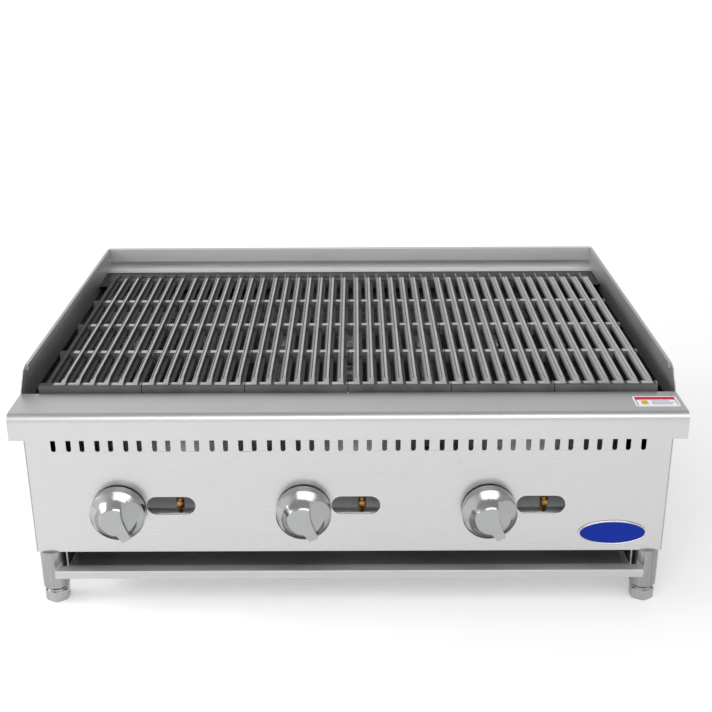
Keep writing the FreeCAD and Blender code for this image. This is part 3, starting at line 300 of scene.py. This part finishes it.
def label_stock(name, color):
    """Laminated paper: slight fibre mottle under a soft sheen."""
    finish = Finish(name, color, 0.0, 0.4)
    finish.set("Specular IOR Level", 0.2)
    fibre = finish.noise(1400.0, detail=3)
    finish.drive("Base Color", finish.mix(finish.span(fibre, 0.3, 0.7), shade(color, 0.93), color))
    finish.drive("Roughness", finish.span(fibre, 0.3, 0.7, 0.34, 0.46))
    finish.bump((fibre, 0.06, 0.02 * MM))
    return finish.material


# The bars repeat every BAR_PITCH from a first crest, each with a grease channel on its right.
GRATE_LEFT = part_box("grate_1")[0].x
GRATE_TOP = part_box("grate_1")[1].z
GRATE_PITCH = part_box("grate_2")[0].x - GRATE_LEFT
BAR_PITCH = 20.3 * MM
FIRST_CREST = 15.9 * MM
CHANNEL = 4.6 * MM
# Height above which the firebox steel is painted near black as painted shade.
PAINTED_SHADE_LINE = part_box("firebox_rear_wall")[1].z - 15 * MM
FINISHES = {
    "panel_steel": brushed("panel_steel_look", (0.60, 0.595, 0.60), "X", 0.28, contrast=0.02, smudge=0.03),
    "rail_steel": brushed("rail_steel_look", (0.62, 0.62, 0.625), "X", 0.38, contrast=0.05),
    "casing_steel": brushed("casing_steel_look", (0.60, 0.60, 0.605), "Y", 0.5, contrast=0.1),
    "splash_steel": brushed("splash_steel_look", (0.67, 0.67, 0.675), "X", 0.38),
    "firebox_steel": brushed("firebox_steel_look", (0.88, 0.88, 0.885), "X", 0.42, contrast=0.06,
                             smudge=0.1, painted_shade_above=PAINTED_SHADE_LINE),
    "grate_iron": cast_iron("grate_iron_look", GRATE_TOP, GRATE_LEFT),
    "radiant_steel": radiant_steel("radiant_steel_look"),
    "burner_steel": brushed("burner_steel_look", (0.46, 0.45, 0.44), "Y", 0.35, contrast=0.12, smudge=0.1),
    "pipe_steel": zinc_pipe("pipe_steel_look"),
    "valve_brass": brass("valve_brass_look"),
    "spindle_steel": brushed("spindle_steel_look", (0.6, 0.6, 0.6), "Y", 0.25),
    "knob_chrome": plated("knob_chrome_look", (0.41, 0.415, 0.42), 0.2),
    "pilot_tube_steel": plated("pilot_tube_look", (0.6, 0.6, 0.6), 0.25),
    # The legs' strong light and dark lengthwise banding is real brushing plus painted reflection.
    "leg_steel": brushed("leg_steel_look", (0.37, 0.37, 0.375), "Z", 0.22, contrast=0.5),
    "foot_steel": brushed("foot_steel_look", (0.42, 0.42, 0.425), "Z", 0.24, contrast=0.1),
    "base_steel": brushed("base_steel_look", (0.45, 0.45, 0.455), "Y", 0.34, contrast=0.12),
    "tray_steel": brushed("tray_steel_look", (0.60, 0.60, 0.605), "X", 0.55, smudge=0.1),
    "badge_blue": enamel("badge_blue_look", (0.001, 0.022, 0.30)),
    "label_stock": label_stock("label_stock_look", (0.9, 0.9, 0.89)),
    "screw_steel": plated("screw_steel_look", (0.62, 0.62, 0.62), 0.22),
}
PRINT = {
    "red": label_stock("red_print", (0.60, 0.008, 0.045)),
    "amber": label_stock("amber_print", (0.75, 0.42, 0.01)),
    "grey": label_stock("grey_print", (0.10, 0.10, 0.26)),
}


def dress_node(name):
    """Give a CAD node its finish."""
    node = NODES[name]
    finish = FINISHES[SLOT_OF[name]]
    if node.material_slots:
        for slot in node.material_slots:
            slot.material = finish
    else:
        node.data.materials.append(finish)


# Edge rounding by material slot, in millimetres.
EDGE_ROUND = {"grate_iron": 0.9, "knob_chrome": 0.9, "leg_steel": 0.6, "badge_blue": 0.25,
              "radiant_steel": 0.5, "valve_brass": 0.4, "casing_steel": 0.35, "panel_steel": 0.3,
              "rail_steel": 0.4, "splash_steel": 0.4, "tray_steel": 0.4, "base_steel": 0.4}


def soften(node, width):
    """Round a CAD node's sharp edges with modifiers."""
    weld = node.modifiers.new("weld", "WELD")
    weld.merge_threshold = 0.005 * MM
    bevel = node.modifiers.new("edge_round", "BEVEL")
    bevel.width = width
    bevel.segments = 2
    bevel.limit_method = "ANGLE"
    bevel.angle_limit = math.radians(32)
    bevel.use_clamp_overlap = True
    normals = node.modifiers.new("normals", "WEIGHTED_NORMAL")
    normals.keep_sharp = True


for node_name in NODES:
    dress_node(node_name)
    if SLOT_OF[node_name] in EDGE_ROUND:
        soften(NODES[node_name], EDGE_ROUND[SLOT_OF[node_name]] * MM)


# ---- modelled detail -------------------------------------------------------------------------

STEPS = 48
ANGLES = [2 * math.pi * step / STEPS for step in range(STEPS)]


def add_piece(name, shape, finish, body="casing"):
    """A modelled detail with its finish and material slot, riding one CAD body."""
    mesh = bpy.data.meshes.new(name)
    bmesh.ops.recalc_face_normals(shape, faces=shape.faces)
    shape.to_mesh(mesh)
    shape.free()
    piece = bpy.data.objects.new(name, mesh)
    bpy.context.scene.collection.objects.link(piece)
    mesh.materials.append(finish)
    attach(piece, body)
    return piece


def join_rings(shape, rings, capped=True):
    """Skin a list of vertex rings, and close the first and last unless the rings meet."""
    for low, high in zip(rings, rings[1:]):
        for index, corner in enumerate(low):
            after = (index + 1) % len(low)
            shape.faces.new((corner, low[after], high[after], high[index]))
    if capped:
        shape.faces.new(rings[0])
        shape.faces.new(rings[-1])


def rings_of(shape, rows, place):
    """Rings of vertices stacked along Z and put in place, from rows of height and radius by angle."""
    rings = []
    for height, radius in rows:
        points = [Vector((radius(angle) * math.cos(angle), radius(angle) * math.sin(angle), height))
                  for angle in ANGLES]
        rings.append([shape.verts.new(place @ point) for point in points])
    return rings


def lathe(shape, rows, place):
    """A closed turned body."""
    join_rings(shape, rings_of(shape, rows, place))


def round_of(radius):
    return lambda angle: radius


def hexagon_of(flat, limit):
    """A hexagon with flats at +X and -X, its corners turned down to the limit radius."""
    def radius(angle):
        off_flat = (angle + math.pi / 6) % (math.pi / 3) - math.pi / 6
        return min(flat / 2 / math.cos(off_flat), limit)
    return radius


def thread_rows(start, end, root, crest, pitch):
    """Rows of a helical thread between two heights."""
    def radius_at(height):
        def radius(angle):
            phase = (height / pitch - angle / (2 * math.pi)) % 1
            return root + (crest - root) * (1 - abs(2 * phase - 1))
        return radius
    count = round((end - start) / pitch * 6)
    heights = [start + (end - start) * step / count for step in range(count + 1)]
    return [(height, radius_at(height)) for height in heights]


def screwed_foot(end):
    """Adjustable foot: chamfered hexagon, straight collar and threaded shank."""
    node = f"foot_{end}"
    low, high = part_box(node)
    place = Matrix.Translation(((low.x + high.x) / 2, (low.y + high.y) / 2, low.z))
    shank_top = high.z - low.z
    flat, corner, hex_top = 32 * MM, 18.4 * MM, 17 * MM
    collar, collar_top = 15.6 * MM, 20.3 * MM
    root, crest, pitch = 5.2 * MM, 5.98 * MM, 1.75 * MM
    rows = [(0, hexagon_of(flat, corner - 1.4 * MM)), (1 * MM, hexagon_of(flat, corner)),
            (hex_top - 0.6 * MM, hexagon_of(flat, corner)), (hex_top, hexagon_of(flat, corner - 1 * MM)),
            (hex_top, round_of(collar)), (collar_top - 0.4 * MM, round_of(collar)),
            (collar_top, round_of(collar - 0.4 * MM)), (collar_top, round_of(root))]
    rows += thread_rows(collar_top + 0.2 * MM, shank_top - 1.5 * MM, root, crest, pitch)
    rows.append((shank_top, round_of(root - 0.6 * MM)))
    shape = bmesh.new()
    lathe(shape, rows, place)
    foot = add_piece(f"{node}_detail", shape, FINISHES["foot_steel"], f"{node}_screw")
    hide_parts(node)


def inlet_thread():
    """Pipe thread ridges over the last 20 mm of the gas inlet."""
    low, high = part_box("gas_inlet_pipe")
    place = Matrix.Translation(((low.x + high.x) / 2, high.y, (low.z + high.z) / 2))
    place = place @ Matrix.Rotation(math.pi / 2, 4, "X")
    start, end, runout = 0.4 * MM, 19 * MM, 0.4 * MM
    inside, root, crest, pitch = 12.3 * MM, 12.65 * MM, 13.2 * MM, 1.814 * MM
    rows = [(start, round_of(root))]
    rows += thread_rows(start + runout, end - runout, root, crest, pitch)
    rows += [(end, round_of(root)), (end, round_of(inside)), (start, round_of(inside))]
    shape = bmesh.new()
    rings = rings_of(shape, rows, place)
    rings.append(rings[0])
    join_rings(shape, rings, capped=False)
    add_piece("gas_inlet_thread", shape, FINISHES["pipe_steel"])


def rear_screws():
    """Hexagon washer-head screws in place of the plain heads on the back panel."""
    low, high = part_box("casing_screws")
    washer, washer_top = 4.2 * MM, 0.8 * MM
    flat, corner, head_top = 5.5 * MM, 3.1 * MM, 2.4 * MM
    rows = [(0, round_of(washer)), (washer_top - 0.3 * MM, round_of(washer)),
            (washer_top, round_of(washer - 0.3 * MM)), (washer_top, hexagon_of(flat, corner)),
            (head_top - 0.4 * MM, hexagon_of(flat, corner)),
            (head_top, hexagon_of(flat, corner - 0.5 * MM))]
    columns = 5
    shape = bmesh.new()
    for height in (low.z + washer, high.z - washer):
        for column in range(columns):
            across = low.x + washer + (high.x - low.x - 2 * washer) * column / (columns - 1)
            place = Matrix.Translation((across, high.y - head_top, height))
            lathe(shape, rows, place @ Matrix.Rotation(-math.pi / 2, 4, "X"))
    screws = add_piece("casing_screw_heads", shape, FINISHES["screw_steel"])
    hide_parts("casing_screws")


def badge_rim():
    """Raised metal rim round the oval badge."""
    low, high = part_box("badge_plate")
    middle = (low + high) / 2
    half_width, half_height = (high.x - low.x) / 2, (high.z - low.z) / 2
    section = [(0.3, 0.9), (0.3, -0.3), (-0.1, -0.6), (-1.7, -0.6), (-2.1, -0.3), (-2.1, 0.2)]
    shape = bmesh.new()
    rings = []
    for step in range(2 * STEPS):
        angle = math.pi * step / STEPS
        points = [Vector((middle.x + (half_width + outward * MM) * math.cos(angle), low.y + back * MM,
                          middle.z + (half_height + outward * MM) * math.sin(angle)))
                  for outward, back in section]
        rings.append([shape.verts.new(point) for point in points])
    rings.append(rings[0])
    join_rings(shape, rings, capped=False)
    add_piece("badge_rim", shape, FINISHES["screw_steel"])


# Plain bands with no words or signs: name, colour, then left, back, right and front edges in
# millimetres from the label's middle.
LABEL_BANDS = (
    ("label_header", "red", -27.5, 14.5, 27.5, 5),
    ("label_patch", "amber", -21, 2.5, -12, -10.5),
    ("label_rule_1", "grey", -7, 1.5, 18, 0),
    ("label_rule_2", "grey", -7, -3.5, 23, -5),
    ("label_rule_3", "grey", -7, -8.5, 20, -10),
    ("label_edge_left", "grey", -27.5, 5, -26.5, -14.5),
    ("label_edge_right", "grey", 26.5, 5, 27.5, -14.5),
)
INK_BELOW, INK_ABOVE = 0.05 * MM, 0.06 * MM


def label_band(name, color, left, back, right, front):
    """A thin patch of print on the label."""
    low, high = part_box("caution_label")
    middle = (low + high) / 2
    corners = [(left, front), (right, front), (right, back), (left, back)]
    shape = bmesh.new()
    rings = [[shape.verts.new((middle.x + across * MM, middle.y + along * MM, height))
              for across, along in corners]
             for height in (high.z - INK_BELOW, high.z + INK_ABOVE)]
    join_rings(shape, rings)
    add_piece(name, shape, PRINT[color])


for foot_end in ENDS:
    screwed_foot(foot_end)
inlet_thread()
rear_screws()
badge_rim()
for band in LABEL_BANDS:
    label_band(*band)


# ---- floor, light and camera -----------------------------------------------------------------

def plain_floor():
    """A pale floor that glows a little, more so behind the grill, so that it fades to white."""
    bpy.ops.mesh.primitive_plane_add(size=60, location=(0, 0, 0))
    floor = bpy.context.object
    floor.name = "floor"
    finish = Finish("floor_look", (0.93, 0.93, 0.93), 0.0, 0.7)
    finish.set("Emission Color", (1, 1, 1, 1))
    finish.drive("Emission Strength", finish.span(finish.axis("Y"), 0.5, 2.5, 0.22, 0.5))
    floor.data.materials.append(finish.material)


def area_light(name, place, target, width, height, power):
    lamp = bpy.data.lights.new(name, "AREA")
    lamp.shape = "RECTANGLE"
    lamp.size = width
    lamp.size_y = height
    lamp.energy = power
    holder = bpy.data.objects.new(name, lamp)
    bpy.context.scene.collection.objects.link(holder)
    holder.location = place
    holder.rotation_euler = (Vector(target) - Vector(place)).to_track_quat("-Z", "Y").to_euler()


def studio():
    """A sky that is brightest near the horizon and on the left, a front softbox and a low left key."""
    world = bpy.data.worlds.new("studio_world")
    world.use_nodes = True
    tree = world.node_tree
    sky = tree.nodes["Background"]
    sky.inputs["Color"].default_value = (1, 1, 1, 1)
    split = tree.nodes.new("ShaderNodeSeparateXYZ")
    tree.links.new(tree.nodes.new("ShaderNodeTexCoord").outputs["Generated"], split.inputs["Vector"])
    factors = []
    for axis, low, high, start, end in (("Z", 0.4, 0.75, 1.0, 0.5), ("X", -0.8, 0.8, 1.15, 0.6)):
        ramp = tree.nodes.new("ShaderNodeMapRange")
        tree.links.new(split.outputs[axis], ramp.inputs["Value"])
        for socket, number in (("From Min", low), ("From Max", high),
                               ("To Min", start), ("To Max", end)):
            ramp.inputs[socket].default_value = number
        factors.append(ramp.outputs["Result"])
    product = tree.nodes.new("ShaderNodeMath")
    product.operation = "MULTIPLY"
    for socket, factor in zip(product.inputs, factors):
        tree.links.new(factor, socket)
    tree.links.new(product.outputs["Value"], sky.inputs["Strength"])
    bpy.context.scene.world = world
    middle = (0, 0, 0.3)
    area_light("top_light", (0.3, -2.2, 2.6), middle, 3.0, 1.6, 40)
    area_light("key_light", (-2.6, -0.2, 1.35), middle, 0.9, 0.9, 28)


def photo_camera():
    """Eye level above the front edge, looking slightly down, with a small frame shift."""
    data = bpy.data.cameras.new("camera")
    data.sensor_width = 36
    data.lens = 57.6
    data.shift_x = 0.0045
    data.shift_y = 0.015
    camera = bpy.data.objects.new("camera", data)
    bpy.context.scene.collection.objects.link(camera)
    camera.location = (0.0121, -1.7345, 0.9595)
    yaw, pitch, roll = (math.radians(angle) for angle in (-0.2, -22.0, -0.3))
    forward = Vector((math.sin(yaw) * math.cos(pitch), math.cos(yaw) * math.cos(pitch), math.sin(pitch)))
    right = forward.cross(Vector((0, 0, 1))).normalized()
    up = right.cross(forward)
    turned_right = right * math.cos(roll) + up * math.sin(roll)
    turned_up = up * math.cos(roll) - right * math.sin(roll)
    camera.rotation_euler = Matrix((turned_right, turned_up, -forward)).transposed().to_euler()
    bpy.context.scene.camera = camera


plain_floor()
studio()
photo_camera()
bpy.context.scene.view_settings.view_transform = "Standard"
bpy.context.view_layer.update()
